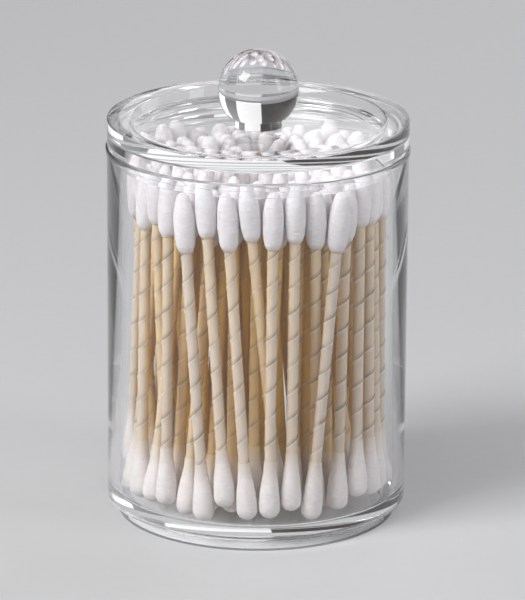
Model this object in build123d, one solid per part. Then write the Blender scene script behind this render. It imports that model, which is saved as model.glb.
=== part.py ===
from build123d import *

import os

import numpy as np

# A clear round jar with a lifting lid, filled with paper-stick cotton swabs. Millimetres, +Z up.
# The origin is the middle of the foot ring's resting face.

# The swab sets the jar's height
SWAB_LENGTH = 73.0
STICK_DIAMETER = 2.3
BUD_DIAMETER = 4.5
BUD_LENGTH = 13.0
BUD_END_COVER = 4.0
TOP_BUD_TIP = 2.8
TOP_BUD_WIDEST = 7.0
TOP_BUD_SHOULDER = 11.2
TOP_BUD_SHOULDER_DIAMETER = 4.0
TOP_BUD_NECK = 2.6
BOTTOM_BUD_WAIST = 7.8
BOTTOM_BUD_WAIST_DIAMETER = 3.6
BOTTOM_BUD_NECK = 2.55
GLUE_GAP = 0.05

# Jar
JAR_DIAMETER = 66.0
WALL = 2.2
FLOOR = 2.5
FOOT_INSET = 2.2
FOOT_WIDTH = 2.2
FOOT_HEIGHT = 3.0
LIP_PROUD = 0.3
LIP_HEIGHT = 1.3
LIP_ROUND = 0.24
INNER_CORNER = 1.2
EDGE_ROUND = 0.3

# Lid
LID_BAND = 6.25
LID_BORDER = 5.25
RECESS_DEPTH = 2.0
RECESS_SLOPE = 0.75
LID_PLATE = 1.9
PLUG_DEPTH = 3.5
PLUG_WALL = 2.0
PLUG_CLEARANCE = 0.4
PLUG_ROUND = 0.5

# Ball knob
BALL_DIAMETER = 17.6
BALL_FLAT_DIAMETER = 13.2
STEM_DIAMETER = 10.4
STEM_HEIGHT = 2.2
PARTING_LAND = 0.3

# How the swabs stand in the jar
HEAD_ROOM = 0.9
STANDING_GAP = 0.05
SIDE_GAP = 0.3
BUD_GAP = 0.25
STICK_GAP = 0.3
SWAB_ROOM = 0.6
SCATTER = 1.2
LEAN = 5.0
SLACK = 0.8
OUTWARD = 0.008
RAISED_SHARE = 0.85
RAISED_SELDOM = 2
ROW_NESTING = 0.9
BACK_OF_BUNDLE = 18.0
LEVELS = (0.0, 3.5, 6.0)
BUNDLE_SEED = 28
SETTLING_STEPS = 800
TINY = 1e-9

# Heights and radii that follow
jar_radius = JAR_DIAMETER / 2
inner_radius = jar_radius - WALL
floor_top = FOOT_HEIGHT + FLOOR
swab_foot = floor_top + STANDING_GAP
swab_top = swab_foot + SWAB_LENGTH
plug_bottom = swab_top + HEAD_ROOM
rim = plug_bottom + PLUG_DEPTH
lid_top = rim + LID_BAND
recess_floor = lid_top - RECESS_DEPTH
plate_underside = recess_floor - LID_PLATE
plug_radius = inner_radius - PLUG_CLEARANCE
plug_inner_radius = plug_radius - PLUG_WALL
bud_radius = BUD_DIAMETER / 2
stick_radius = STICK_DIAMETER / 2


def turned(outline, rounded=()):
    """A solid of revolution about Z; rounded lists (corner, radius) of the outline."""
    section = make_face(Polyline(*outline, close=True))
    for corner, radius in rounded:
        vertex = section.vertices().sort_by_distance(Vector(*corner))[0]
        section = fillet(vertex, radius)
    return revolve(Plane.XZ * section, Axis.Z)


def jar_body():
    foot_radius = jar_radius - FOOT_INSET
    lip_radius = jar_radius + LIP_PROUD
    lip_bottom = rim - LIP_HEIGHT
    wall_foot = (jar_radius, FOOT_HEIGHT)
    lip_low, lip_high = (lip_radius, lip_bottom), (lip_radius, rim)
    mouth, corner = (inner_radius, rim), (inner_radius, floor_top)
    outline = [
        (0, FOOT_HEIGHT),
        (foot_radius - FOOT_WIDTH, FOOT_HEIGHT),
        (foot_radius - FOOT_WIDTH, 0),
        (foot_radius, 0),
        (foot_radius, FOOT_HEIGHT),
        wall_foot,
        (jar_radius, lip_bottom),
        lip_low,
        lip_high,
        mouth,
        corner,
        (0, floor_top),
    ]
    rounded = [(wall_foot, EDGE_ROUND), (lip_low, LIP_ROUND), (lip_high, EDGE_ROUND)]
    return turned(outline, rounded + [(mouth, EDGE_ROUND), (corner, INNER_CORNER)])


def lid():
    border_inner = jar_radius - LID_BORDER
    edge, foot = (jar_radius, lid_top), (jar_radius, rim)
    lead_in = (plug_radius, plug_bottom)
    recess_edge = (border_inner, lid_top)
    inside = (plug_inner_radius, plate_underside)
    outline = [
        (0, plate_underside),
        inside,
        (plug_inner_radius, plug_bottom),
        lead_in,
        (plug_radius, rim),
        foot,
        edge,
        recess_edge,
        (border_inner - RECESS_SLOPE, recess_floor),
        (0, recess_floor),
    ]
    rounded = [(edge, EDGE_ROUND), (foot, EDGE_ROUND), (recess_edge, EDGE_ROUND)]
    return turned(outline, rounded + [(lead_in, PLUG_ROUND), (inside, PLUG_ROUND)])


def ball_knob():
    ball_radius = BALL_DIAMETER / 2
    stem_radius, flat_radius = STEM_DIAMETER / 2, BALL_FLAT_DIAMETER / 2
    flat = recess_floor + STEM_HEIGHT
    lower_centre = flat + np.sqrt(ball_radius**2 - flat_radius**2)
    upper_centre = lower_centre + PARTING_LAND
    outline = Curve() + [
        Polyline((0, recess_floor), (stem_radius, recess_floor), (stem_radius, flat), (flat_radius, flat)),
        RadiusArc((flat_radius, flat), (ball_radius, lower_centre), -ball_radius),
        Line((ball_radius, lower_centre), (ball_radius, upper_centre)),
        RadiusArc((ball_radius, upper_centre), (0, upper_centre + ball_radius), -ball_radius),
        Line((0, upper_centre + ball_radius), (0, recess_floor)),
    ]
    return revolve(Plane.XZ * make_face(outline), Axis.Z)


def stick():
    """The paper stick of a swab that stands on the origin."""
    from_end = BUD_END_COVER + GLUE_GAP
    rod = extrude(Circle(stick_radius), SWAB_LENGTH - 2 * from_end)
    return Pos(0, 0, from_end) * rod


def bud(*curves):
    """Cotton that stands on its tip: its outline's curves end at a neck, above a blind bore for the stick."""
    bore = stick_radius + GLUE_GAP
    inside = Polyline(curves[-1] @ 1, (bore, BUD_LENGTH), (bore, BUD_END_COVER), (0, BUD_END_COVER), (0, 0))
    return revolve(Plane.XZ * make_face(Curve() + [*curves, inside]), Axis.Z)


def spindle_bud():
    """The swab's upper end: widest in its middle, with a blunt shoulder on the stick."""
    tip_radius, widest = TOP_BUD_TIP / 2, Vector(bud_radius, TOP_BUD_WIDEST)
    from_tip_centre = TOP_BUD_WIDEST - tip_radius
    flank_radius = (bud_radius**2 + from_tip_centre**2 - tip_radius**2) / (2 * (bud_radius - tip_radius))
    outward = Vector(flank_radius - bud_radius, -from_tip_centre).normalized()
    joined = Vector(0, tip_radius) + outward * tip_radius
    shoulder = Vector(TOP_BUD_SHOULDER_DIAMETER / 2, TOP_BUD_SHOULDER)
    tip = RadiusArc((0, 0), joined, -tip_radius)
    flank = RadiusArc(joined, widest, -flank_radius)
    back = TangentArc(widest, shoulder, tangent=(0, 1))
    return bud(tip, flank, back, TangentArc(shoulder, (TOP_BUD_NECK / 2, BUD_LENGTH), tangent=back % 1))


def drop_bud():
    """The swab's lower end: widest near its tip, drawn out to the stick."""
    widest = (bud_radius, bud_radius)
    waist = (BOTTOM_BUD_WAIST_DIAMETER / 2, BOTTOM_BUD_WAIST)
    tip = RadiusArc((0, 0), widest, -bud_radius)
    belly = TangentArc(widest, waist, tangent=(0, 1))
    return bud(tip, belly, TangentArc(waist, (BOTTOM_BUD_NECK / 2, BUD_LENGTH), tangent=belly % 1))


def pushes(points, slope, lift, level, apart):
    """How far each swab moves so that all are apart; level is the height where each pair is measured."""
    above = level[..., None] - lift[:, None, None]
    here = points[:, None] + slope[:, None] * above
    between = here - here.transpose(1, 0, 2)
    distance = np.hypot(between[..., 0], between[..., 1])
    np.fill_diagonal(distance, np.inf)
    short = np.clip(apart - distance, 0, None)
    return (between * (short / np.maximum(distance, TINY))[..., None]).sum(axis=1) / 2


def crossing_pushes(feet, heads, apart):
    """The same for sticks that cross between their ends: moves of the feet and of the heads."""
    low = feet[:, None] - feet[None, :]
    change = heads[:, None] - heads[None, :] - low
    along = -(low * change).sum(-1) / np.maximum((change**2).sum(-1), TINY)
    along = np.clip(along, 0, 1)
    nearest = low + change * along[..., None]
    distance = np.hypot(nearest[..., 0], nearest[..., 1])
    np.fill_diagonal(distance, np.inf)
    short = np.clip(apart - distance, 0, None) / np.maximum(distance, TINY)
    move = nearest * short[..., None]
    return (move * (1 - along)[..., None]).sum(axis=1), (move * along[..., None]).sum(axis=1)


def held_inside(points, reach):
    """Points further from the axis than their reach are brought back to it."""
    radius = np.hypot(points[:, 0], points[:, 1])
    return points * np.minimum(1, reach / np.maximum(radius, TINY))[:, None]


def standing_swabs():
    """Rows of swabs, from the wall in, each swab its foot, its head and its lift; the jar's back stays free."""
    random = np.random.default_rng(BUNDLE_SEED)
    wall_reach = inner_radius - bud_radius - SIDE_GAP
    plug_reach = plug_inner_radius - bud_radius - SIDE_GAP
    pitch = BUD_DIAMETER + SWAB_ROOM
    feet, row_of = [], []
    for row, radius in enumerate(np.arange(wall_reach, bud_radius, -pitch * ROW_NESTING)):
        count = int(2 * np.pi * radius / pitch)
        for turn in (np.arange(count) + row / 2) * 2 * np.pi / count:
            foot = (radius * np.cos(turn), radius * np.sin(turn))
            if foot[1] < BACK_OF_BUNDLE:
                feet.append(foot)
                row_of.append(row)
    feet, row_of = np.array(feet), np.array(row_of)
    feet += random.uniform(-SCATTER, SCATTER, feet.shape)
    free_height = plate_underside - swab_top - SIDE_GAP
    from_axis = np.hypot(feet[:, 0], feet[:, 1]) / wall_reach
    lift = RAISED_SHARE * free_height * random.random(len(feet)) ** RAISED_SELDOM * from_axis**2
    lower = np.minimum(lift[:, None], lift[None, :])
    higher = np.maximum(lift[:, None], lift[None, :])
    foot_reach, head_reach = wall_reach - SLACK * random.random((2, len(feet))) ** 2
    head_reach = np.where(lift > HEAD_ROOM - SIDE_GAP, np.minimum(head_reach, plug_reach), head_reach)
    heads = feet + random.uniform(-LEAN, LEAN, feet.shape)
    bud_apart = BUD_DIAMETER + BUD_GAP
    for step in range(SETTLING_STEPS):
        drift = 1 + OUTWARD * max(0, 1 - 2 * step / SETTLING_STEPS)
        slope = (heads - feet) / (SWAB_LENGTH - BUD_DIAMETER)
        low, high = crossing_pushes(feet, heads, STICK_DIAMETER + STICK_GAP)
        for inward in LEVELS:
            low += pushes(feet, slope, lift, higher + inward, bud_apart) / len(LEVELS)
            high += pushes(heads, slope, lift, lower - inward, bud_apart) / len(LEVELS)
        feet = held_inside(feet * drift + low, foot_reach)
        heads = held_inside(heads * drift + high, head_reach)
    rows = [[] for _ in range(row_of.max() + 1)]
    for row, foot, head, rise in zip(row_of, feet, heads, lift):
        rows[row].append((foot, head, rise))
    return rows


def place(foot, head, rise):
    """The location of a swab whose widest parts pass through its foot and head points."""
    axis = Vector(*(head - foot), SWAB_LENGTH - BUD_DIAMETER).normalized()
    tip = Vector(*foot, swab_foot + rise + bud_radius) - axis * bud_radius
    return Plane(origin=tip, z_dir=axis).location


def save(node, shape):
    export_step(shape, f"parts/{node}.step")


os.makedirs("parts", exist_ok=True)
save("jar_body", jar_body())
save("lid", lid())
save("ball_knob", ball_knob())

upper_bud = Pos(0, 0, SWAB_LENGTH) * Rot(180, 0, 0) * spindle_bud()
kinds = {"sticks": stick(), "top_buds": upper_bud, "bottom_buds": drop_bud()}
for number, swabs in enumerate(standing_swabs(), start=1):
    places = [place(*swab) for swab in swabs]
    for kind, shape in kinds.items():
        save(f"swab_row_{number}_{kind}", Compound(children=[where * shape for where in places]))
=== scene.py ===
"""Dresses a clear jar of cotton swabs: its acrylic, paper and cotton, on a pale studio floor."""

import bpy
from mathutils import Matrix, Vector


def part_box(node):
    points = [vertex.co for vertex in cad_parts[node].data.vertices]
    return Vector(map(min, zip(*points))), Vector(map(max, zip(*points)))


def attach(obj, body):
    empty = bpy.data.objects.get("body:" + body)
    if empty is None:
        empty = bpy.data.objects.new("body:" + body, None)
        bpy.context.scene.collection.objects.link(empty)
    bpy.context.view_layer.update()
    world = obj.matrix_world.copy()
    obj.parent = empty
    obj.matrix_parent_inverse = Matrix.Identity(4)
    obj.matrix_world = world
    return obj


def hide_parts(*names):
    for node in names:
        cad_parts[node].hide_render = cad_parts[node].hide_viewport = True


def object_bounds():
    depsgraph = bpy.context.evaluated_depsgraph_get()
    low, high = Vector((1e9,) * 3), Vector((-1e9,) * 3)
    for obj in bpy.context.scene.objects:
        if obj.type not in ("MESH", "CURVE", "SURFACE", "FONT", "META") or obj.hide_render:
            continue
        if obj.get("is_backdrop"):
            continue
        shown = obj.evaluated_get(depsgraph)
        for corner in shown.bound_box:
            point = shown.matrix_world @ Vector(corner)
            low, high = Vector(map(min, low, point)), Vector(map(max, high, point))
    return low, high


bl_info = {
    "name": "Swab Jar",
    "version": (1, 0, 0),
    "blender": (4, 5, 0),
    "location": "View3D > Sidebar > Swab Jar",
    "description": "Builds a clear jar of paper-stick cotton swabs, its lid, its knob and a small studio",
    "category": "Object",
}

import math
import random
from typing import NamedTuple

import bmesh
import bpy
from bpy.props import FloatProperty, FloatVectorProperty, IntProperty, PointerProperty
from mathutils import Matrix, Vector, noise

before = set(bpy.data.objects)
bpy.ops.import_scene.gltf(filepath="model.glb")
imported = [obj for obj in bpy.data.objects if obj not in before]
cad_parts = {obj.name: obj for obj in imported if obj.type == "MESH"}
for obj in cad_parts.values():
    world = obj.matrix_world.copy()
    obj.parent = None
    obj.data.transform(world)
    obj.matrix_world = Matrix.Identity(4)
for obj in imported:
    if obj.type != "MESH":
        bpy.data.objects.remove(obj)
cad_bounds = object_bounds()
_, jar_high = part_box("jar_body")
lid_low, lid_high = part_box("lid")
knob_low, knob_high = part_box("ball_knob")
lid_radius = lid_high.x
ROWS = sum(name.endswith("_sticks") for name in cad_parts)
FULL_TURN = 2 * math.pi
UP = Vector((0, 0, 1))
MERGE = 1e-6
SHARP = 0

# Lumps of wound cotton in a metre, their shares of its unevenness, and how far each bud's own lumps shift
COARSE_LUMPS = 420
FINE_LUMPS = 1100
COARSE_SHARE = 0.6
FINE_SHARE = 0.4
LUMP_SHIFT = 9

# How far each pattern takes the paper towards its darker colour, and what is taken off their sum
# The crease and dip are painted shade above each lap's ledge; the fibres, mottling and tone are the paper's
# own
CREASE_SHADE = 0.66
DIP_SHADE = 0.22
FIBRE_SHADE = 0.3
MOTTLE_SHADE = 0.2
PAPER_TONE_SHADE = 0.15
USUAL_SHADE = 0.3

# How far the painted highlight on the lap's ledge takes the paper towards its pale colour
LEDGE_HIGHLIGHT = 0.7

# How the cotton's strands and fluff make up its fibres, and how they shade it
STRAND_SHARE = 0.65
FLUFF_SHARE = 0.35
UNSHADED_FIBRES = 0.62
FIBRE_CONTRAST = 2.2
COTTON_TONE_SHADE = 0.25


class Detail(NamedTuple):
    """How finely the swabs of a row are made."""

    stick_sides: int
    bud_sides: int
    bud_steps: int
    lapped: bool


FINE = Detail(stick_sides=20, bud_sides=22, bud_steps=5, lapped=True)
PLAIN = Detail(stick_sides=10, bud_sides=12, bud_steps=3, lapped=False)
LAP_SIDES = 14


class Lamp(NamedTuple):
    """A soft rectangular lamp, with its sizes and place in metres."""

    name: str
    place: tuple
    width: float
    height: float
    watts: float


LAMPS = (
    Lamp("key", place=(-0.66, -0.45, 0.78), width=0.45, height=0.45, watts=6.2),
    Lamp("fill", place=(0.7, -0.35, 0.35), width=0.2, height=0.5, watts=0.9),
    Lamp("rear", place=(0.2, 1.06, 0.4), width=0.55, height=0.75, watts=1.1),
    Lamp("rear_side", place=(1.0, 0.62, 0.4), width=0.6, height=0.75, watts=1.6),
)
LAMPS_AIM = Vector((0, 0, 0.05))
DARK_TOWARDS = (-1.5, 1.1, 0)


def length(name, description, default):
    return FloatProperty(
        name=name, description=description, default=default, min=0, precision=5, unit="LENGTH"
    )


def angle(name, description, degrees):
    return FloatProperty(name=name, description=description, default=math.radians(degrees), unit="ROTATION")


def share(name, description, default):
    return FloatProperty(
        name=name, description=description, default=default, min=0, max=1, subtype="FACTOR"
    )


def count(name, description, default, least):
    return IntProperty(name=name, description=description, default=default, min=least)


def colour(name, description, default):
    return FloatVectorProperty(
        name=name, description=description, default=default, size=3, min=0, max=1, subtype="COLOR"
    )


class JarSizes(bpy.types.PropertyGroup):
    wall: length("Wall", "Thickness of the jar's wall", 0.0022)
    floor: length("Floor", "Thickness of the jar's floor", 0.0025)
    foot_inset: length("Foot inset", "How far the foot ring stands in from the wall", 0.0022)
    foot_width: length("Foot width", "Width of the foot ring", 0.0022)
    foot_height: length("Foot height", "Height of the foot ring", 0.003)
    lip_height: length("Lip height", "Height of the lip at the mouth", 0.0013)
    lip_round: share("Lip round", "How much of the lip's overhang is rounded below", 0.8)
    inner_corner: length("Inner corner", "Rounding between the wall and the floor inside", 0.0012)
    edge_round: length("Edge round", "Rounding of the moulded edges", 0.0003)
    facets: count("Facets", "Steps round the turned clear pieces", 192, least=24)
    round_steps: count("Round steps", "Steps in a rounded corner", 4, least=1)


class LidSizes(bpy.types.PropertyGroup):
    border: length("Border", "Width of the raised border", 0.00525)
    recess_depth: length("Recess depth", "How far the middle is sunk", 0.002)
    recess_slope: length("Recess slope", "How far the recess narrows towards its floor", 0.00075)
    plate: length("Plate", "Thickness of the sunk middle", 0.0019)
    plug_depth: length("Plug depth", "How far the plug ring drops into the mouth", 0.0035)
    plug_wall: length("Plug wall", "Thickness of the plug ring", 0.002)
    plug_clearance: length("Plug clearance", "Gap between the plug ring and the jar's wall", 0.0004)
    plug_round: length("Plug round", "Rounding of the plug ring", 0.0005)
    seat_gap: length("Seat gap", "Air left where the clear pieces rest on each other", 0.00003)


class KnobSizes(bpy.types.PropertyGroup):
    flat_diameter: length("Flat diameter", "Diameter of the flat under the ball", 0.0132)
    stem_diameter: length("Stem diameter", "Diameter of the stem under the ball", 0.0104)
    stem_height: length("Stem height", "Height of the stem under the ball", 0.0022)
    parting_land: length("Parting land", "Height of the flat band at the mould's parting line", 0.0003)
    arc_steps: count("Arc steps", "Steps in the ball's outline", 64, least=8)


class SwabSizes(bpy.types.PropertyGroup):
    stick_diameter: length("Stick", "Diameter of the paper stick", 0.0023)
    bud_diameter: length("Bud", "Widest diameter of a cotton bud", 0.0045)
    bud_length: length("Bud length", "Length of a cotton bud", 0.013)
    end_cover: length("End cover", "Cotton beyond the end of the stick", 0.00405)
    glue_gap: length("Glue gap", "Gap between the stick and the cotton", 0.00005)
    top_tip: length("Top tip", "Diameter of an upper bud's round tip", 0.0028)
    top_widest: length("Top widest", "From the tip of an upper bud to its widest part", 0.007)
    top_shoulder: length("Top shoulder", "From the tip of an upper bud to its shoulder", 0.0112)
    top_shoulder_diameter: length("Shoulder diameter", "Diameter of an upper bud at its shoulder", 0.004)
    top_neck: length("Top neck", "Diameter of an upper bud at the stick", 0.0026)
    bottom_waist: length("Bottom waist", "From the tip of a lower bud to its waist", 0.0078)
    bottom_waist_diameter: length("Waist diameter", "Diameter of a lower bud at its waist", 0.0036)
    bottom_neck: length("Bottom neck", "Diameter of a lower bud at the stick", 0.00255)
    top_fade: length("Top fade", "Where an upper bud's cotton thins out on the stick", 0.0015)
    bottom_fade: length("Bottom fade", "Where a lower bud's cotton thins out on the stick", 0.0045)
    lap_pitch: length("Lap pitch", "Rise of the paper's spiral lap in one turn", 0.0059)
    lap_step: length("Lap step", "Height of the paper's lapped edge", 0.00013)
    lap_width: length("Lap width", "Width over which the lap runs out", 0.0016)
    lump: share("Lump", "How uneven the wound cotton is", 0.07)
    # The bundle's sizes also set where the sticks and the lower cotton get painted shade deep in the bundle
    bundle_radius: length("Bundle radius", "Outside of the bundle of swabs", 0.029)
    bundle_back: length("Bundle back", "From the jar's axis to the back of the bundle", 0.0195)
    bundle_depth: length("Bundle depth", "From the outside to where the bundle is dark", 0.011)
    fine_rows: count("Fine rows", "Outer rows made in full detail", 3, least=0)


class Finishes(bpy.types.PropertyGroup):
    acrylic_tint: colour("Acrylic tint", "Tint of the clear acrylic", (0.985, 0.99, 0.995))
    acrylic_ior: FloatProperty(
        name="Acrylic IOR", description="Refraction of the acrylic", default=1.49, min=1
    )
    acrylic_haze: share("Acrylic haze", "Roughness of a handled patch", 0.035)
    paper: colour("Paper", "Colour of the rolled paper", (0.715, 0.61, 0.52))
    # A painted highlight where the paper's lapped edge would catch the light
    paper_ledge_highlight: colour("Paper ledge", "Colour of the paper's lapped edge", (0.9, 0.83, 0.76))
    # Painted shade in the crease above the lapped edge, which is also the dark of the paper's own fibres
    # and mottling
    paper_grain_and_crease_shade: colour("Paper seam", "Colour in the crease above the lapped edge", (0.27, 0.19, 0.115))
    # Painted golden shade of light soaked through the bundle, deep among the sticks
    paper_bundle_shade: colour("Deep paper", "Colour of the paper deep in the bundle", (0.9, 0.55, 0.03))
    cotton: colour("Cotton", "Colour of the wound cotton", (0.89, 0.855, 0.87))
    cotton_shade: colour("Cotton shade", "Colour between the cotton's fibres", (0.76, 0.715, 0.73))
    # Painted warm shade on the lower cotton, strongest deep in the bundle
    cotton_low_shade: colour("Deep cotton", "Colour of the lower cotton deep in the bundle", (0.8, 0.64, 0.46))
    # Below this height the cotton takes the painted warm shade
    cotton_white_above: length("White above", "Height above which the cotton is white", 0.03)
    cotton_white_fade: length("White fade", "Height over which the cotton turns white", 0.00667)
    stick_shows: share("Stick shows", "How far the stick shows through the thinnest cotton", 0.8)


class StageSettings(bpy.types.PropertyGroup):
    floor: colour("Floor", "Colour of the floor", (0.8, 0.8, 0.81))
    floor_grain: share("Floor grain", "How much darker the floor's grain is", 0.03)
    floor_radius: length("Floor radius", "Radius of the floor", 6.0)
    sky: colour("Sky", "Light from above", (0.52, 0.525, 0.54))
    horizon: colour("Horizon", "Light from the sides", (0.2, 0.2, 0.205))
    dark_side: colour("Dark side", "Light from the dark side behind on the left", (0.05, 0.045, 0.04))
    camera_distance: length("Camera distance", "From the jar's axis, along the floor", 0.974)
    camera_height: length("Camera height", "Above the floor", 0.352)
    camera_tilt: angle("Camera tilt", "Below the horizon", 17.364)
    camera_pan: angle("Camera pan", "To the right of the jar's axis", 0.069)
    camera_roll: angle("Camera roll", "Turn about the line of sight", 0.38)
    lens: FloatProperty(name="Lens", description="Focal length", default=277.9, min=1, unit="CAMERA")


class SwabJar(bpy.types.PropertyGroup):
    jar: PointerProperty(type=JarSizes)
    lid: PointerProperty(type=LidSizes)
    knob: PointerProperty(type=KnobSizes)
    swab: PointerProperty(type=SwabSizes)
    finish: PointerProperty(type=Finishes)
    stage: PointerProperty(type=StageSettings)


class Value:
    """A shader socket that takes part in Python sums."""

    def __init__(self, graph, socket):
        self.graph = graph
        self.socket = socket

    def math(self, operation, *others):
        return self.graph.node("ShaderNodeMath", {"operation": operation}, dict(enumerate((self, *others))))

    def __add__(self, other):
        return self.math("ADD", other)

    def __sub__(self, other):
        return self.math("SUBTRACT", other)

    def __mul__(self, other):
        return self.math("MULTIPLY", other)

    def __rsub__(self, other):
        return self.graph.node("ShaderNodeMath", {"operation": "SUBTRACT"}, {0: other, 1: self})

    def clamped(self):
        return self.math("MAXIMUM", 0.0).math("MINIMUM", 1.0)

    def rise(self, start, end):
        """0 up to start, 1 from end on and even between them; where end is the lower one, it falls."""
        slope = 1 / (end - start)
        return (self * slope - start * slope).clamped()

    def spread(self, low, high):
        """What goes evenly from low, where this is 0, to high, where it is 1."""
        return self * (high - low) + low


class Graph:
    """The nodes of one material or world."""

    def __init__(self, owner):
        owner.use_nodes = True
        self.tree = owner.node_tree
        self.tree.nodes.clear()

    def node(self, kind, settings=None, sockets=None, out=0):
        made = self.tree.nodes.new(kind)
        for name, value in (settings or {}).items():
            setattr(made, name, value)
        for name, value in (sockets or {}).items():
            if isinstance(value, Value):
                self.tree.links.new(value.socket, made.inputs[name])
            elif isinstance(value, tuple) and made.inputs[name].type == "RGBA":
                made.inputs[name].default_value = (*value, 1)
            else:
                made.inputs[name].default_value = value
        return Value(self, made.outputs[out]) if len(made.outputs) else made

    def mix(self, factor, first, second):
        return self.node("ShaderNodeMix", {"data_type": "RGBA"}, {0: factor, 6: first, 7: second}, out=2)

    def attribute(self, name):
        return self.node("ShaderNodeAttribute", {"attribute_name": name}, out="Fac")

    def axis(self, vector, name):
        return self.node("ShaderNodeSeparateXYZ", sockets={0: vector}, out=name)

    def object_place(self):
        return self.node("ShaderNodeTexCoord", out="Object")

    def object_noise(self, scale, detail, stretch=(1, 1, 1)):
        place = self.node("ShaderNodeMapping", sockets={"Vector": self.object_place(), "Scale": stretch})
        return self.node("ShaderNodeTexNoise", sockets={"Vector": place, "Scale": scale, "Detail": detail})

    def bump(self, height, strength, distance):
        sockets = {"Height": height, "Strength": strength, "Distance": distance}
        return self.node("ShaderNodeBump", sockets=sockets)

    def finish(self, surface, kind="ShaderNodeOutputMaterial"):
        self.node(kind, sockets={"Surface": surface})


def material(name):
    made = bpy.data.materials.new(name)
    return made, Graph(made)


def clear_acrylic(name, finish):
    """Polished acrylic with faint handling haze and the slight waviness of a moulding."""
    made, graph = material(name)
    handled = graph.object_noise(scale=70, detail=4).rise(0.5, 0.786)
    ripple = graph.object_noise(scale=45, detail=1)
    polished = graph.node(
        "ShaderNodeBsdfPrincipled",
        sockets={
            "Base Color": tuple(finish.acrylic_tint),
            "Roughness": handled * finish.acrylic_haze,
            "IOR": finish.acrylic_ior,
            "Transmission Weight": 1.0,
            "Normal": graph.bump(ripple, strength=0.03, distance=0.0004),
        },
    )
    lets_light = graph.node("ShaderNodeBsdfTransparent", sockets={"Color": tuple(finish.acrylic_tint)})
    shadow_ray = graph.node("ShaderNodeLightPath", out="Is Shadow Ray")
    graph.finish(graph.node("ShaderNodeMixShader", sockets={0: shadow_ray, 1: polished, 2: lets_light}))
    return made


def rolled_paper(finish):
    """Uncoated paper with fine fibres, a painted highlight on its spiral lap's ledge, painted shade in the
    crease above it and painted golden shade deep in the bundle.
    """
    made, graph = material("rolled_paper")
    place = graph.node("ShaderNodeUVMap", {"uv_map": "wrap"})
    above_ledge = (graph.axis(place, "Y") - graph.axis(place, "X")).math("FRACT")
    pressed = graph.object_noise(scale=260, detail=1).rise(0.3375, 0.5875)
    # Masks for painted shade in the crease above each lap's ledge and for painted shade fading up from it
    crease = above_ledge.rise(0.2, 0) * pressed
    painted_dip_shade = above_ledge.rise(0.4167, 0)
    # A mask for the painted highlight on each lap's ledge
    ledge = above_ledge.rise(0.875, 1)
    # Depth in the bundle and facing inward set the painted golden shade; there the lap's painted shade and
    # highlight show less
    depth = (graph.attribute("behind") + graph.attribute("inward")).clamped()
    seen = depth.spread(1, 0.25)
    fibres = graph.object_noise(scale=1500, detail=5, stretch=(1, 1, 0.35))
    mottled = graph.object_noise(scale=260, detail=2)
    # The lap's painted shade, to which the paper's own fibres, mottling and tone are added
    lap = crease * CREASE_SHADE + painted_dip_shade * painted_dip_shade * DIP_SHADE
    uneven = fibres * FIBRE_SHADE + mottled * MOTTLE_SHADE + graph.attribute("tone") * PAPER_TONE_SHADE
    shade = (lap * seen + uneven - USUAL_SHADE).clamped()
    # Painted golden shade deep in the bundle, then the painted highlight on the ledge
    ground = graph.mix(depth, tuple(finish.paper), tuple(finish.paper_bundle_shade))
    ground = graph.mix(ledge * seen * LEDGE_HIGHLIGHT, ground, tuple(finish.paper_ledge_highlight))
    surface = graph.node(
        "ShaderNodeBsdfPrincipled",
        sockets={
            "Base Color": graph.mix(shade, ground, tuple(finish.paper_grain_and_crease_shade)),
            "Roughness": fibres.spread(0.6, 0.8),
            "Specular IOR Level": 0.2,
            "Normal": graph.bump(fibres, strength=0.35, distance=0.00008),
        },
    )
    graph.finish(surface)
    return made


def wound_cotton(finish):
    """Soft cotton fibres wound round the end of a stick, with painted warm shade low down and deep in the
    bundle, and thin where they end on it.
    """
    made, graph = material("wound_cotton")
    strands = graph.object_noise(scale=420, detail=4, stretch=(1, 1, 5))
    fluff = graph.object_noise(scale=2200, detail=3)
    fibres = strands * STRAND_SHARE + fluff * FLUFF_SHARE
    tone = graph.attribute("tone") * COTTON_TONE_SHADE
    shade = ((UNSHADED_FIBRES - fibres) * FIBRE_CONTRAST + tone).clamped()
    cotton = graph.mix(shade, tuple(finish.cotton), tuple(finish.cotton_shade))
    # Painted warm shade on the lower cotton, strongest deep in the bundle
    white_above = finish.cotton_white_above
    low = graph.axis(graph.object_place(), "Z").rise(white_above, white_above - finish.cotton_white_fade)
    depth = graph.attribute("behind")
    cotton = graph.mix(depth.spread(0.14, 0.84) * low, cotton, tuple(finish.cotton_low_shade))
    # The stick showing through thin cotton, with the painted golden shade deep in the bundle
    stick = graph.mix(depth, tuple(finish.paper), tuple(finish.paper_bundle_shade))
    surface = graph.node(
        "ShaderNodeBsdfPrincipled",
        sockets={
            "Base Color": graph.mix(graph.attribute("thin") * finish.stick_shows, cotton, stick),
            "Roughness": fibres.spread(0.88, 0.98),
            "Sheen Weight": 0.35,
            "Sheen Roughness": 0.45,
            "Normal": graph.bump(fibres, strength=0.7, distance=0.00035),
        },
    )
    graph.finish(surface)
    return made


def pale_floor(settings):
    """A matt floor with a faint grain."""
    made, graph = material("pale_floor")
    grain = graph.object_noise(scale=300, detail=3)
    tint = tuple(settings.floor)
    darker = tuple(channel * (1 - settings.floor_grain) for channel in tint)
    surface = graph.node(
        "ShaderNodeBsdfPrincipled",
        sockets={"Base Color": graph.mix(grain, darker, tint), "Roughness": 0.75},
    )
    graph.finish(surface)
    return made


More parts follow.
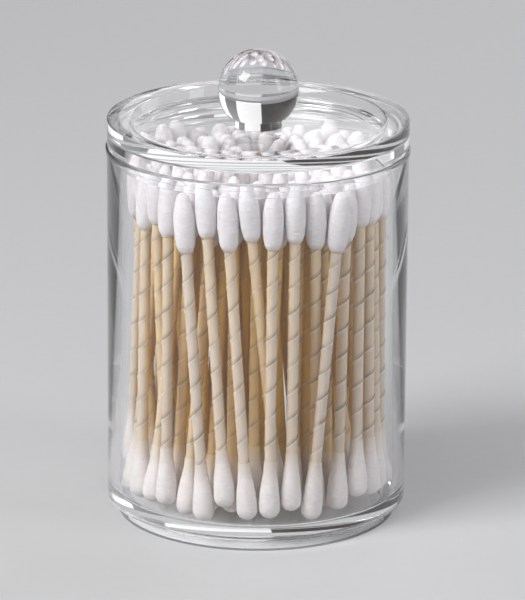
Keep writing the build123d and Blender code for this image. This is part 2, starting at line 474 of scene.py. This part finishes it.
def shown(name, bm, finish, smooth_angle=32):
    """Makes the object of a finished bmesh, with its edges sharp where they turn more than smooth_angle."""
    mesh = bpy.data.meshes.new(name)
    bm.to_mesh(mesh)
    bm.free()
    mesh.shade_smooth()
    mesh.set_sharp_from_angle(angle=math.radians(smooth_angle))
    piece = bpy.data.objects.new(name, mesh)
    piece.data.materials.append(finish)
    bpy.context.scene.collection.objects.link(piece)
    return piece


def carried(piece, body, node):
    """Puts a piece on its body in the place of the solid that it stands for."""
    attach(piece, body)
    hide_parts(node)


def outline(bm, corners):
    """A chain of edges through (radius, height) corners in the XZ plane."""
    chain = [bm.verts.new((radius, 0, height)) for radius, height in corners]
    for pair in zip(chain, chain[1:]):
        bm.edges.new(pair)
    return chain


def rounded_outline(bm, corners, steps):
    """A chain of edges through (radius, height, rounding) corners, with its corners rounded."""
    chain = outline(bm, [(radius, height) for radius, height, _ in corners])
    for corner, (_, _, rounding) in zip(chain, corners):
        if rounding == SHARP:
            continue
        bmesh.ops.bevel(
            bm,
            geom=[corner],
            offset=rounding,
            offset_type="OFFSET",
            affect="VERTICES",
            segments=steps,
            profile=0.5,
            material=-1,
        )


def arc(bm, start, centre, turn, steps):
    """Carries the chain on from start along an arc about centre, seen from -Y."""
    made = bmesh.ops.spin(
        bm, geom=[start], cent=centre, axis=(0, -1, 0), angle=turn, steps=steps, use_merge=False
    )
    return next(item for item in made["geom_last"] if isinstance(item, bmesh.types.BMVert))


def onward(bm, start, corners):
    """Carries the chain on from start through (radius, height) corners."""
    for radius, height in corners:
        made = bmesh.ops.extrude_vert_indiv(bm, verts=[start])
        start = made["verts"][0]
        start.co = (radius, 0, height)
    return start


def turned(bm, steps):
    """Spins the whole chain round the Z axis into a closed skin."""
    geom = bm.verts[:] + bm.edges[:]
    bmesh.ops.spin(
        bm, geom=geom, cent=(0, 0, 0), axis=(0, 0, 1), angle=FULL_TURN, steps=steps, use_merge=True
    )
    bmesh.ops.remove_doubles(bm, verts=bm.verts, dist=MERGE)
    bmesh.ops.dissolve_degenerate(bm, edges=bm.edges, dist=MERGE)
    bmesh.ops.recalc_face_normals(bm, faces=bm.faces)


class SWABJAR_OT_jar(bpy.types.Operator):
    """Turn the clear jar with its lip, thick floor and foot ring"""

    bl_idname = "swab_jar.jar"
    bl_label = "Jar"

    def execute(self, context):
        settings = context.scene.swab_jar
        size = settings.jar
        edge = size.edge_round
        lip, rim = jar_high.x, jar_high.z
        wall = lid_radius
        inside, floor = wall - size.wall, size.foot_height + size.floor
        foot, lip_bottom = wall - size.foot_inset, rim - size.lip_height
        corners = [
            (0, size.foot_height, SHARP),
            (foot - size.foot_width, size.foot_height, SHARP),
            (foot - size.foot_width, 0, SHARP),
            (foot, 0, SHARP),
            (foot, size.foot_height, SHARP),
            (wall, size.foot_height, edge),
            (wall, lip_bottom, SHARP),
            (lip, lip_bottom, (lip - wall) * size.lip_round),
            (lip, rim, edge),
            (inside, rim, edge),
            (inside, floor, size.inner_corner),
            (0, floor, SHARP),
        ]
        bm = bmesh.new()
        rounded_outline(bm, corners, size.round_steps)
        turned(bm, size.facets)
        piece = shown("clear_jar", bm, clear_acrylic("jar_acrylic", settings.finish))
        carried(piece, "jar", "jar_body")
        return {"FINISHED"}


class SWABJAR_OT_lid(bpy.types.Operator):
    """Turn the clear lid with its border, sunk middle and plug ring"""

    bl_idname = "swab_jar.lid"
    bl_label = "Lid"

    def execute(self, context):
        settings = context.scene.swab_jar
        size = settings.lid
        edge = settings.jar.edge_round
        seat = lid_low.z + size.plug_depth + size.seat_gap
        plug = lid_radius - settings.jar.wall - size.plug_clearance
        hollow = plug - size.plug_wall
        recess = lid_high.z - size.recess_depth
        underside = recess - size.plate
        border = lid_radius - size.border
        corners = [
            (0, underside, SHARP),
            (hollow, underside, size.plug_round),
            (hollow, lid_low.z, SHARP),
            (plug, lid_low.z, size.plug_round),
            (plug, seat, SHARP),
            (lid_radius, seat, edge),
            (lid_radius, lid_high.z, edge),
            (border, lid_high.z, edge),
            (border - size.recess_slope, recess, SHARP),
            (0, recess, SHARP),
        ]
        bm = bmesh.new()
        rounded_outline(bm, corners, settings.jar.round_steps)
        turned(bm, settings.jar.facets)
        piece = shown("clear_lid", bm, clear_acrylic("lid_acrylic", settings.finish))
        carried(piece, "lid", "lid")
        return {"FINISHED"}


class SWABJAR_OT_knob(bpy.types.Operator):
    """Turn the clear ball knob on its short stem"""

    bl_idname = "swab_jar.knob"
    bl_label = "Ball knob"

    def execute(self, context):
        settings = context.scene.swab_jar
        size = settings.knob
        ball, flat, stem = knob_high.x, size.flat_diameter / 2, size.stem_diameter / 2
        foot = knob_low.z + settings.lid.seat_gap
        stem_top = knob_low.z + size.stem_height
        below = math.sqrt(ball**2 - flat**2)
        lower = Vector((0, 0, stem_top + below))
        upper = lower + UP * size.parting_land
        bm = bmesh.new()
        chain = outline(bm, [(0, foot), (stem, foot), (stem, stem_top), (flat, stem_top)])
        end = arc(bm, chain[-1], lower, math.atan2(below, flat), size.arc_steps // 2)
        end = onward(bm, end, [(ball, upper.z)])
        arc(bm, end, upper, FULL_TURN / 4, size.arc_steps)
        turned(bm, settings.jar.facets)
        piece = shown("clear_ball_knob", bm, clear_acrylic("knob_acrylic", settings.finish))
        carried(piece, "lid", "ball_knob")
        return {"FINISHED"}


def islands(bm):
    """The separate shells of a bmesh, as lists of vertices."""
    left = set(bm.verts)
    while left:
        shell, fringe = [], [left.pop()]
        while fringe:
            vert = fringe.pop()
            shell.append(vert)
            for edge in vert.link_edges:
                other = edge.other_vert(vert)
                if other in left:
                    left.remove(other)
                    fringe.append(other)
        yield shell


def stick_ends(row):
    """The middles of the lower and upper end of each stick of a row, in order round the jar."""
    bm = bmesh.new()
    bm.from_mesh(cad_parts[f"swab_row_{row}_sticks"].data)
    bmesh.ops.remove_doubles(bm, verts=bm.verts, dist=MERGE)
    ends = []
    for shell in islands(bm):
        half = sum(vert.co.z for vert in shell) / len(shell)
        low = [vert.co for vert in shell if vert.co.z < half]
        high = [vert.co for vert in shell if vert.co.z >= half]
        ends.append((sum(low, Vector()) / len(low), sum(high, Vector()) / len(high)))
    bm.free()
    return sorted(ends, key=lambda pair: math.atan2(pair[0].y, pair[0].x))


def standing(row, size):
    """The length of a row's swabs, and for each one the matrix that stands a template on its lower tip."""
    draw = random.Random(row)
    ends = stick_ends(row)
    first_low, first_high = ends[0]
    swab = (first_high - first_low).length + 2 * size.end_cover
    places = []
    for low, high in ends:
        axis = (high - low).normalized()
        tip = low - axis * size.end_cover
        lean = UP.rotation_difference(axis).to_matrix()
        turn = lean @ Matrix.Rotation(draw.uniform(0, FULL_TURN), 3, "Z")
        places.append(Matrix.Translation(tip) @ turn.to_4x4())
    return swab, places


# The depth sets how much painted shade a spot in the bundle gets
def depth_in_bundle(spot, size):
    """How deep a spot lies in the bundle, from 0 on its outside to 1; the jar's back is free of swabs."""
    cover = min(size.bundle_radius - spot.xy.length, size.bundle_back - spot.y)
    return min(1, max(0, cover / size.bundle_depth))


def lumps(spot, shift):
    """How far the wound cotton swells or shrinks at a spot, from -1 to 1."""
    coarse = noise.noise(spot * COARSE_LUMPS + shift)
    fine = noise.noise(spot * FINE_LUMPS - shift)
    return coarse * COARSE_SHARE + fine * FINE_SHARE


def planted(template, places, row, size, mark, mark_at, lump=0.0):
    """One bmesh with a copy of the template at each place of a row, each with its own tone and lumps.

    The mark is an attribute whose value mark_at gives for a spot and the way out of the bundle there.
    """
    draw = random.Random(row)
    bm = bmesh.new()
    tone = bm.verts.layers.float.new("tone")
    behind = bm.verts.layers.float.new("behind")
    marked = bm.verts.layers.float.new(mark)
    for matrix in places:
        before = len(bm.verts)
        bm.from_mesh(template)
        bm.verts.ensure_lookup_table()
        copy = bm.verts[before:]
        shade = draw.random()
        shift = Vector([draw.uniform(-LUMP_SHIFT, LUMP_SHIFT) for _ in range(3)])
        outward = matrix.to_3x3().inverted() @ matrix.translation.normalized()
        for vert in copy:
            vert[tone] = shade
            vert[behind] = depth_in_bundle(matrix @ vert.co, size)
            vert[marked] = mark_at(vert.co, outward)
            vert.co.xy *= 1 + lump * lumps(vert.co, shift)
        bmesh.ops.transform(bm, matrix=matrix, verts=copy)
    bpy.data.meshes.remove(template)
    return bm


def template_of(bm, name):
    mesh = bpy.data.meshes.new(name)
    bm.to_mesh(mesh)
    bm.free()
    return mesh


def detail_of(row, size):
    return FINE if row <= size.fine_rows else PLAIN


def stick_template(size, swab, detail):
    """A paper stick from its lower tip, with the lapped edge of its paper wound up it where it shows."""
    radius, low, high = size.stick_diameter / 2, size.end_cover, swab - size.end_cover
    bm = bmesh.new()
    outline(bm, [(0, low), (radius, low), (radius, high), (0, high)])
    turned(bm, detail.stick_sides)
    if detail.lapped:
        wind_lap(bm, size, radius, low, high)
    wrap(bm, size.lap_pitch, low + size.lap_width)
    return template_of(bm, "stick_template")


def wind_lap(bm, size, radius, low, high):
    """Winds a thin wedge up the stick: the edge of the paper strip, flush below and a ledge above."""
    ledge = low + size.lap_width
    sunk, proud = radius - size.lap_step, radius + size.lap_step
    corners = [bm.verts.new((out, 0, rise)) for out, rise in ((sunk, low), (proud, ledge), (sunk, ledge))]
    face = bm.faces.new(corners)
    turns = (high - low - size.lap_width) / size.lap_pitch
    steps = int(turns * LAP_SIDES)
    bmesh.ops.spin(
        bm,
        geom=[face, *face.edges, *face.verts],
        cent=(0, 0, 0),
        axis=(0, 0, 1),
        dvec=(0, 0, turns * size.lap_pitch / steps),
        angle=turns * FULL_TURN,
        steps=steps,
        use_merge=False,
    )
    bmesh.ops.recalc_face_normals(bm, faces=bm.faces)


def wrap(bm, pitch, ledge):
    """A UV map of turns round the axis and laps along it, with the first lap's ledge at zero."""
    layer = bm.loops.layers.uv.new("wrap")
    for face in bm.faces:
        middle = face.calc_center_median()
        about = math.atan2(middle.y, middle.x) / FULL_TURN
        for loop in face.loops:
            spot = loop.vert.co
            turn = math.atan2(spot.y, spot.x) / FULL_TURN if spot.xy.length > MERGE else about
            turn -= round(turn - about)
            loop[layer].uv = (turn, (spot.z - ledge) / pitch)


def tangent_arc(bm, start, heading, end, steps):
    """Carries the chain on from start to an (x, z) end along the arc that leaves in a heading.

    Gives the chain's new end and the heading in which the arc arrives there.
    """
    chord = Vector((end[0] - start.co.x, end[1] - start.co.z))
    turn = 2 * (math.atan2(chord.y, chord.x) - heading)
    radius = chord.length / (2 * math.sin(turn / 2))
    centre = start.co + Vector((-math.sin(heading), 0, math.cos(heading))) * radius
    return arc(bm, start, centre, turn, steps), heading + turn


def through(bm, points, heading, steps):
    """A chain of arcs through (radius, height) points, each one leaving as the last one arrives."""
    end = outline(bm, points[:1])[0]
    for point in points[1:]:
        end, heading = tangent_arc(bm, end, heading, point, steps)
    return end


def spindle(size):
    """The bends of an upper bud from its tip: widest in its middle, with a blunt shoulder on the stick."""
    radius, tip = size.bud_diameter / 2, size.top_tip / 2
    above = size.top_widest - tip
    flank = (radius**2 + above**2 - tip**2) / (2 * (radius - tip))
    joined = Vector((0, tip)) + Vector((flank - radius, -above)).normalized() * tip
    shoulder = (size.top_shoulder_diameter / 2, size.top_shoulder)
    neck = (size.top_neck / 2, size.bud_length)
    return [(0, 0), tuple(joined), (radius, size.top_widest), shoulder, neck]


def drop(size):
    """The bends of a lower bud from its tip: widest near the tip, drawn out to the stick."""
    radius = size.bud_diameter / 2
    waist = (size.bottom_waist_diameter / 2, size.bottom_waist)
    return [(0, 0), (radius, radius), waist, (size.bottom_neck / 2, size.bud_length)]


def bud_template(size, swab, bends, at_top, detail):
    """A wound cotton bud with a blind bore for its stick; an upper one is turned over onto its end."""
    bore = size.stick_diameter / 2 + size.glue_gap
    bm = bmesh.new()
    end = through(bm, bends, 0, detail.bud_steps)
    onward(bm, end, [(bore, size.bud_length), (bore, size.end_cover), (0, size.end_cover)])
    turned(bm, detail.bud_sides)
    if at_top:
        flip = Matrix.Translation(UP * swab) @ Matrix.Rotation(math.pi, 4, "X")
        bmesh.ops.transform(bm, matrix=flip, verts=bm.verts)
    return template_of(bm, "bud_template")


# How far a stick faces inward sets how much painted shade its inner side gets
def inward_at(spot, outward):
    """How far a spot on a stick faces in, to the middle of the bundle."""
    facing = spot.xy.normalized().dot(outward.xy) if spot.xy.length > MERGE else 0
    return max(0, -facing)


def thinned(size, swab, at_top):
    """A measure of how thin a bud's cotton is: 0 for most of the bud, and 1 where it ends on the stick."""
    fade = size.top_fade if at_top else size.bottom_fade

    def thin_at(spot, _):
        from_tip = swab - spot.z if at_top else spot.z
        return min(1, max(0, 1 - (size.bud_length - from_tip) / fade))

    return thin_at


class SWABJAR_OT_sticks(bpy.types.Operator):
    """Roll the paper sticks, row by row"""

    bl_idname = "swab_jar.sticks"
    bl_label = "Paper sticks"

    def execute(self, context):
        settings = context.scene.swab_jar
        size = settings.swab
        finish = rolled_paper(settings.finish)
        for row in range(1, ROWS + 1):
            swab, places = standing(row, size)
            template = stick_template(size, swab, detail_of(row, size))
            bm = planted(template, places, row, size, "inward", inward_at)
            node = f"swab_row_{row}_sticks"
            carried(shown(f"paper_sticks_{row}", bm, finish), "jar", node)
        return {"FINISHED"}


class SWABJAR_OT_buds(bpy.types.Operator):
    """Wind the cotton buds, row by row"""

    bl_idname = "swab_jar.buds"
    bl_label = "Cotton buds"

    def execute(self, context):
        settings = context.scene.swab_jar
        size = settings.swab
        finish = wound_cotton(settings.finish)
        for row in range(1, ROWS + 1):
            swab, places = standing(row, size)
            for end, shape in (("top", spindle), ("bottom", drop)):
                at_top = end == "top"
                template = bud_template(size, swab, shape(size), at_top, detail_of(row, size))
                thin_at = thinned(size, swab, at_top)
                bm = planted(template, places, row, size, "thin", thin_at, size.lump)
                node = f"swab_row_{row}_{end}_buds"
                piece = shown(f"cotton_buds_{end}_{row}", bm, finish, smooth_angle=60)
                carried(piece, "jar", node)
        return {"FINISHED"}


def hang(lamp):
    """Hangs a lamp in its place and points it at the jar."""
    light = bpy.data.lights.new(lamp.name, "AREA")
    light.shape = "RECTANGLE"
    light.size, light.size_y = lamp.width, lamp.height
    light.energy = lamp.watts
    holder = bpy.data.objects.new(lamp.name, light)
    holder.location = lamp.place
    holder.rotation_euler = (LAMPS_AIM - holder.location).to_track_quat("-Z", "Y").to_euler()
    bpy.context.scene.collection.objects.link(holder)


class SWABJAR_OT_stage(bpy.types.Operator):
    """Lay the floor, hang the lamps and set the camera"""

    bl_idname = "swab_jar.stage"
    bl_label = "Stage"

    def execute(self, context):
        settings = context.scene.swab_jar.stage
        self.lay_floor(settings)
        for lamp in LAMPS:
            hang(lamp)
        self.light_surroundings(context.scene, settings)
        self.set_rendering(context.scene)
        self.set_camera(context.scene, settings)
        return {"FINISHED"}

    def lay_floor(self, settings):
        bm = bmesh.new()
        bmesh.ops.create_circle(bm, cap_ends=True, segments=96, radius=settings.floor_radius)
        floor = shown("floor", bm, pale_floor(settings))
        floor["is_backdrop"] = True

    def light_surroundings(self, scene, settings):
        """Soft light that grows from the horizon up, with a dark side that gives the acrylic its edges."""
        world = bpy.data.worlds.new("studio")
        scene.world = world
        graph = Graph(world)
        way = graph.node("ShaderNodeTexCoord", out="Generated")
        height = graph.axis(way, "Z").clamped()
        facing = graph.node(
            "ShaderNodeVectorMath", {"operation": "DOT_PRODUCT"}, {0: way, 1: DARK_TOWARDS}, out="Value"
        )
        dark = facing.rise(0.25, 1.25)
        pale = graph.mix(height, tuple(settings.horizon), tuple(settings.sky))
        tint = graph.mix(dark, pale, tuple(settings.dark_side))
        graph.finish(graph.node("ShaderNodeBackground", sockets={"Color": tint}), "ShaderNodeOutputWorld")

    def set_rendering(self, scene):
        """Leaves light enough bounces to pass through the jar, the lid and the knob."""
        scene.view_settings.view_transform = "Standard"
        scene.cycles.max_bounces = 32
        scene.cycles.glossy_bounces = 24
        scene.cycles.transmission_bounces = 32

    def set_camera(self, scene, settings):
        lens = bpy.data.cameras.new("camera")
        lens.lens = settings.lens
        lens.clip_start, lens.clip_end = 0.01, 100
        camera = bpy.data.objects.new("camera", lens)
        level = math.pi / 2 - settings.camera_tilt
        turn = Matrix.Rotation(-settings.camera_pan, 4, "Z") @ Matrix.Rotation(level, 4, "X")
        turn = turn @ Matrix.Rotation(settings.camera_roll, 4, "Z")
        place = Vector((0, -settings.camera_distance, settings.camera_height))
        camera.matrix_world = Matrix.Translation(place) @ turn
        scene.collection.objects.link(camera)
        scene.camera = camera


BUILDERS = (
    SWABJAR_OT_jar,
    SWABJAR_OT_lid,
    SWABJAR_OT_knob,
    SWABJAR_OT_sticks,
    SWABJAR_OT_buds,
    SWABJAR_OT_stage,
)


class SWABJAR_PT_panel(bpy.types.Panel):
    """List the builders in the 3D view's sidebar"""

    bl_idname = "SWABJAR_PT_panel"
    bl_label = "Swab Jar"
    bl_space_type = "VIEW_3D"
    bl_region_type = "UI"
    bl_category = "Swab Jar"

    def draw(self, context):
        for builder in BUILDERS:
            self.layout.operator(builder.bl_idname)


GROUPS = (JarSizes, LidSizes, KnobSizes, SwabSizes, Finishes, StageSettings, SwabJar)
CLASSES = (*GROUPS, *BUILDERS, SWABJAR_PT_panel)


def register():
    for each in CLASSES:
        bpy.utils.register_class(each)
    bpy.types.Scene.swab_jar = PointerProperty(type=SwabJar)


def unregister():
    del bpy.types.Scene.swab_jar
    for each in reversed(CLASSES):
        bpy.utils.unregister_class(each)


def main():
    register()
    bpy.ops.swab_jar.jar()
    bpy.ops.swab_jar.lid()
    bpy.ops.swab_jar.knob()
    bpy.ops.swab_jar.sticks()
    bpy.ops.swab_jar.buds()
    bpy.ops.swab_jar.stage()
    boxes = {"cad": cad_bounds, "visual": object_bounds()}
    {name: [list(corner) for corner in box] for name, box in boxes.items()}


if __name__ == "__main__":
    main()
